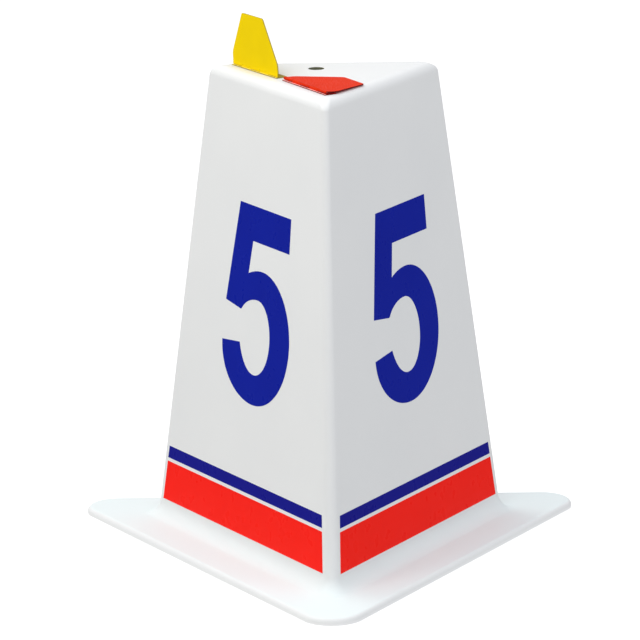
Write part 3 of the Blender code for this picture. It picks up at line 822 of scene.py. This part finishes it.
def flag_profile():
    """Side view of a flag: plate that thickens to the knuckle and its heel."""
    round_end = FULL_TURN + math.asin(FLAG_UNDERSIDE / KNUCKLE_RADIUS)
    radii = (KNUCKLE_RADIUS, KNUCKLE_RADIUS)
    heel_radii = (HEEL_RADIUS, HEEL_RADIUS)
    profile = [(FLAG_LENGTH, FLAG_FACE), (ROOT_TAPER, FLAG_FACE)]
    profile += arc((-HEEL_PLACE, HEEL_PLACE), heel_radii, QUARTER_TURN, math.pi, HEEL_STEPS)
    profile += arc((0.0, 0.0), radii, math.pi, round_end, KNUCKLE_STEPS)
    profile.append((FLAG_LENGTH, FLAG_UNDERSIDE))
    return profile


def leaf_profile():
    """Side view of a leaf: plate below the knuckle, which stands on a web."""
    radii = (KNUCKLE_RADIUS, KNUCKLE_RADIUS)
    profile = [(LEAF_DEPTH, LEAF_TOP), (KNUCKLE_RADIUS, LEAF_TOP)]
    profile += arc((0.0, 0.0), radii, 0.0, math.pi, KNUCKLE_STEPS)
    profile += [(-KNUCKLE_RADIUS, LEAF_TOP), (-LEAF_TOE, LEAF_TOP)]
    profile += [(-LEAF_TOE, LEAF_FOOT), (LEAF_DEPTH, LEAF_FOOT)]
    return profile


def rounded_outline(corners):
    """Replace each corner (x, y, radius) of a convex outline by a short arc."""
    outline = []
    count = len(corners)
    for index, (x, y, radius) in enumerate(corners):
        here = Vector((x, y))
        back = (Vector(corners[index - 1][:2]) - here).normalized()
        ahead = (Vector(corners[(index + 1) % count][:2]) - here).normalized()
        half = back.angle(ahead) / 2
        centre = here + (back + ahead).normalized() * (radius / math.sin(half))
        first = here + back * (radius / math.tan(half)) - centre
        last = here + ahead * (radius / math.tan(half)) - centre
        sweep = first.angle_signed(last)
        for step in range(FLAG_CORNER_STEPS + 1):
            turned = Matrix.Rotation(-sweep * step / FLAG_CORNER_STEPS, 2) @ first
            outline.append(tuple(centre + turned))
    return outline


def flag_outline():
    """Plan of a flag: short sides by the hinge, then slanting to the tip.

    The two root corners lie past the knuckles, so their rounding cuts nothing.
    """
    half = FLAG_WIDTH / 2
    tip = FLAG_TIP_WIDTH / 2
    root = NOTCH_DEPTH + OVERRUN
    plate = [
        (half, -root, OVERRUN),
        (half, FLAG_SHORT_SIDE, FLAG_SIDE_RADIUS),
        (tip, FLAG_LENGTH, FLAG_TIP_RADIUS),
        (-tip, FLAG_LENGTH, FLAG_TIP_RADIUS),
        (-half, FLAG_SHORT_SIDE, FLAG_SIDE_RADIUS),
        (-half, -root, OVERRUN),
    ]
    return rounded_outline(plate)


def flag_notch():
    """Side view of what a flag lacks where the leaf has a knuckle."""
    far = NOTCH_DEPTH + OVERRUN
    reach = (NOTCH_DEPTH, NOTCH_DEPTH)
    profile = [(-far, -far), (NOTCH_DEPTH, -far)]
    profile += arc((0.0, 0.0), reach, 0.0, QUARTER_TURN, NOTCH_STEPS)
    profile += [(0.0, far), (-far, far)]
    return profile


def leaf_notch():
    """Side view of what a leaf lacks over its plate where the flag has a knuckle."""
    far = KNUCKLE_RADIUS + LEAF_THICKNESS
    return [(-far, LEAF_TOP), (far, LEAF_TOP), (far, far), (-far, far)]


def cut_root(piece, kept, profile):
    """Bore a piece for its pin, and notch it for the other piece's knuckles.

    The flag keeps the knuckles of even number, from the end, the leaf the odd.
    """
    far = FLAG_WIDTH / 2 + OVERRUN
    bore = bmesh.new()
    radii = (BORE_RADIUS, BORE_RADIUS)
    add_bar(bore, arc((0.0, 0.0), radii, 0.0, FULL_TURN, PIN_STEPS)[:-1], -far, far)
    cut(piece, bore)
    notches = bmesh.new()
    for index in range(1 - kept, KNUCKLE_COUNT, 2):
        start, end = knuckle_span(index)
        before = OVERRUN if index == 0 else TOUCH_GAP / 2
        after = OVERRUN if index == KNUCKLE_COUNT - 1 else TOUCH_GAP / 2
        add_bar(notches, profile, start - before, end + after)
    cut(piece, notches)


def mark_cuts(piece):
    """Give the cut surface, dark with painted shade, to the faces that run across the sheet."""
    for face in piece.data.polygons:
        across = abs(face.normal.z) < CUT_FACE_SLOPE
        end = abs(face.normal.x) > 1.0 - CUT_FACE_SLOPE
        if across and (end or abs(face.center.y) > NOTCH_DEPTH):
            face.material_index = SHADED_CUT_SURFACE


def mark_plate(piece):
    """Tell a leaf's plate, dark with painted shadow, and the top of its toe, pale with a painted
    highlight, from its knuckles.
    """
    for face in piece.data.polygons:
        if face.material_index == 0 and face.center.z < LEAF_TOP + TOUCH_GAP:
            toe = face.center.y < -KNUCKLE_RADIUS
            face.material_index = HIGHLIGHT_TOE_SURFACE if toe else SHADOWED_PLATE_SURFACE


def make_flag(colour, angle, hinge):
    """One flag with its knuckles, turned about the pin to its place."""
    builder = bmesh.new()
    half = FLAG_WIDTH / 2
    add_bar(builder, flag_profile(), -half, half)
    flag = add_object("flag_" + colour, builder, SHEET_SURFACES[colour][:SHADOWED_PLATE_SURFACE])
    plan = bmesh.new()
    reach = 2 * KNUCKLE_RADIUS + OVERRUN
    add_prism(plan, flag_outline(), -reach, reach)
    cut(flag, plan, "INTERSECT")
    cut_root(flag, kept=0, profile=flag_notch())
    mark_cuts(flag)
    flag.matrix_world = hinge @ Matrix.Rotation(angle, 4, "X")
    body = colour + "_signal"
    finish_piece(flag, body, colour + "_plastic", colour + "_flag", edge=FLAG_EDGE_RADIUS)


def rivet_places():
    """Middles of the rivets on a leaf, in the hinge's frame."""
    y = (NOTCH_DEPTH + LEAF_DEPTH) / 2
    return [(share * FLAG_WIDTH, y) for share in RIVET_PLACE_SHARES]


def make_leaf(colour, hinge):
    """The fixed leaf, bored for the pin and countersunk for its rivets."""
    builder = bmesh.new()
    half = FLAG_WIDTH / 2
    add_bar(builder, leaf_profile(), -half, half)
    leaf = add_object("leaf_" + colour, builder, SHEET_SURFACES[colour])
    cut_root(leaf, kept=1, profile=leaf_notch())
    sinks = bmesh.new()
    narrow = RIVET_SHANK_RADIUS + TOUCH_GAP
    wide = RIVET_HEAD_RADIUS + TOUCH_GAP
    flare = (wide - narrow) / LEAF_THICKNESS
    profile = [
        (narrow, LEAF_FOOT - LEAF_THICKNESS),
        (narrow, LEAF_FOOT),
        (wide + flare * LEAF_THICKNESS, LEAF_TOP + LEAF_THICKNESS),
    ]
    for place in rivet_places():
        skin_rings(sinks, add_turned(sinks, profile, RIVET_STEPS, place))
    cut(leaf, sinks)
    mark_cuts(leaf)
    mark_plate(leaf)
    leaf.matrix_world = hinge
    slot = colour + "_plastic"
    finish_piece(leaf, "box", slot, colour + "_hinge_leaf", edge=LEAF_EDGE_RADIUS)


def make_pin(colour, hinge):
    """The straight steel pin through all the knuckles, with rounded ends."""
    builder = bmesh.new()
    half = FLAG_WIDTH / 2 - PIN_END_RECESS
    flat = PIN_RADIUS - PIN_END_RADIUS
    radii = (PIN_END_RADIUS, PIN_END_RADIUS)
    foot = arc((flat, PIN_END_RADIUS - half), radii, -QUARTER_TURN, 0.0, PIN_END_STEPS)
    head = arc((flat, half - PIN_END_RADIUS), radii, 0.0, QUARTER_TURN, PIN_END_STEPS)
    skin_rings(builder, add_turned(builder, foot + head, PIN_STEPS))
    pin = add_object("pin_" + colour, builder, [STEEL])
    pin.matrix_world = hinge @ Matrix.Rotation(QUARTER_TURN, 4, "Y")
    finish_piece(pin, "box", "stainless_steel", colour + "_hinge_pin")


def rivet_profile(tail_top):
    """Tail inside the shell, shank, and dished countersunk head."""
    tail_foot = tail_top - RIVET_TAIL_HEIGHT
    bulge = (tail_foot + tail_top) / 2
    radii = (RIVET_TAIL_RADIUS - RIVET_SHANK_RADIUS, tail_top - bulge)
    centre = (RIVET_SHANK_RADIUS, bulge)
    return [
        (RIVET_DISH_RADIUS, tail_foot),
        *arc(centre, radii, -QUARTER_TURN, QUARTER_TURN, RIVET_TAIL_STEPS),
        (RIVET_SHANK_RADIUS, LEAF_FOOT),
        (RIVET_HEAD_RADIUS, LEAF_TOP - RIVET_HEAD_SOFTENING),
        (RIVET_HEAD_RADIUS - RIVET_HEAD_SOFTENING, LEAF_TOP),
        (RIVET_DISH_RADIUS, LEAF_TOP),
        (RIVET_DISH_RADIUS / 2, LEAF_TOP - RIVET_DISH_DEPTH),
    ]


def washer_profile(top):
    """A flat ring round the rivet's shank, with softened edges."""
    eye = RIVET_SHANK_RADIUS + TOUCH_GAP
    foot = top - WASHER_THICKNESS
    soft = WASHER_EDGE_RADIUS
    return [
        (eye, foot),
        (WASHER_RADIUS - soft, foot),
        (WASHER_RADIUS, foot + soft),
        (WASHER_RADIUS, top - soft),
        (WASHER_RADIUS - soft, top),
        (eye, top),
    ]


def make_rivets(colour, hinge):
    """Countersunk rivets, with a washer under each tail inside the shell."""
    washer_top = HEIGHT - LAMINATE - TOUCH_GAP - hinge.translation.z
    tail_top = washer_top - WASHER_THICKNESS - TOUCH_GAP
    for index, place in enumerate(rivet_places(), start=1):
        rivet = bmesh.new()
        skin_rings(rivet, add_turned(rivet, rivet_profile(tail_top), RIVET_STEPS))
        washer = bmesh.new()
        ring = add_turned(washer, washer_profile(washer_top), RIVET_STEPS)
        skin_rings(washer, ring, closed=True)
        for kind, builder in (("rivet", rivet), ("washer", washer)):
            piece = add_object(f"{kind}_{colour}_{index}", builder, [STEEL])
            piece.matrix_world = hinge @ Matrix.Translation((*place, 0.0))
            finish_piece(piece, "box", "stainless_steel", f"{colour}_{kind}_{index}")


# Stage, light and camera

def make_floor():
    """A wide pale floor in two layers.

    The camera sees one, and the marker takes its light from the other, so that
    the floor can be white without lighting the walls too much.
    """
    for name, (tone, glow, depth) in FLOOR_LAYERS.items():
        seen = depth == 0.0
        surface = Surface(name + "_surface", (tone, tone, tone), roughness=0.9, specular=0.0)
        surface.shader.inputs["Emission Color"].default_value = (1.0, 1.0, 1.0, 1.0)
        surface.shader.inputs["Emission Strength"].default_value = glow
        builder = bmesh.new()
        bmesh.ops.create_grid(builder, x_segments=1, y_segments=1, size=FLOOR_REACH)
        builder.transform(Matrix.Translation((0.0, 0.0, -depth)))
        floor = add_object(name, builder, [surface.material])
        floor.visible_glossy = False
        floor.visible_diffuse = not seen
        floor.visible_camera = seen
        floor.visible_shadow = not seen


def make_studio():
    """Surroundings that are dim at eye level and bright overhead."""
    world = bpy.data.worlds.new("studio")
    world.use_nodes = True
    tree = world.node_tree
    background = tree.nodes["Background"]
    place = tree.nodes.new("ShaderNodeTexCoord")
    split = tree.nodes.new("ShaderNodeSeparateXYZ")
    ramp = tree.nodes.new("ShaderNodeValToRGB")
    tree.links.new(place.outputs["Generated"], split.inputs["Vector"])
    tree.links.new(split.outputs["Z"], ramp.inputs["Fac"])
    tree.links.new(ramp.outputs["Color"], background.inputs["Color"])
    for stop, (rise, colour) in zip(ramp.color_ramp.elements, STUDIO_TONES):
        stop.position = rise
        stop.color = (*colour, 1.0)
    bpy.context.scene.world = world
    bpy.context.scene.view_settings.view_transform = "Standard"


def add_light(name, azimuth, elevation, distance, size, power, colour):
    """A square soft light that faces the marker."""
    light = bpy.data.lights.new(name, "AREA")
    light.shape = "SQUARE"
    light.size = size
    light.energy = power
    light.color = colour
    made = bpy.data.objects.new(name, light)
    bpy.context.scene.collection.objects.link(made)
    turn = math.radians(azimuth)
    rise = math.radians(elevation)
    aim = Vector((0.0, MIDDLE.y, HEIGHT / 2))
    level = math.cos(rise)
    away = Vector((math.sin(turn) * level, -math.cos(turn) * level, math.sin(rise)))
    made.location = aim + away * distance
    made.rotation_euler = away.to_track_quat("Z", "Y").to_euler()


def make_camera():
    """The photograph's viewpoint, found from the marker's own edges."""
    heading = CAMERA_AZIMUTH + CAMERA_PAN
    level = Vector((-math.sin(heading), math.cos(heading), 0.0))
    side = Vector((math.cos(heading), math.sin(heading), 0.0))
    ahead = level * math.cos(CAMERA_TILT) - UP * math.sin(CAMERA_TILT)
    crown = UP * math.cos(CAMERA_TILT) + level * math.sin(CAMERA_TILT)
    right = side * math.cos(CAMERA_ROLL) + crown * math.sin(CAMERA_ROLL)
    top = crown * math.cos(CAMERA_ROLL) - side * math.sin(CAMERA_ROLL)
    data = bpy.data.cameras.new("camera")
    data.sensor_width = SENSOR_WIDTH
    data.lens = CAMERA_LENS
    camera = bpy.data.objects.new("camera", data)
    bpy.context.scene.collection.objects.link(camera)
    reach = CAMERA_REACH * HEIGHT
    x = math.sin(CAMERA_AZIMUTH) * reach
    y = -math.cos(CAMERA_AZIMUTH) * reach
    place = MIDDLE + Vector((x, y, CAMERA_RISE * HEIGHT))
    camera.matrix_world = axes_at(place, right, top, -ahead)
    bpy.context.scene.camera = camera


make_camera()
make_floor()
make_studio()
for name, settings in LIGHTS.items():
    add_light(name, *settings)
shell = make_shell()
make_films()
for colour, angle in (("yellow", RAISED_ANGLE), ("red", FOLDED_ANGLE)):
    hinge = hinge_frame(colour + "_flag_hinge")
    drill_shell(shell, hinge)
    make_flag(colour, angle, hinge)
    make_leaf(colour, hinge)
    make_pin(colour, hinge)
    make_rivets(colour, hinge)
finish_piece(shell, "box", "white_gelcoat", "body_shell")
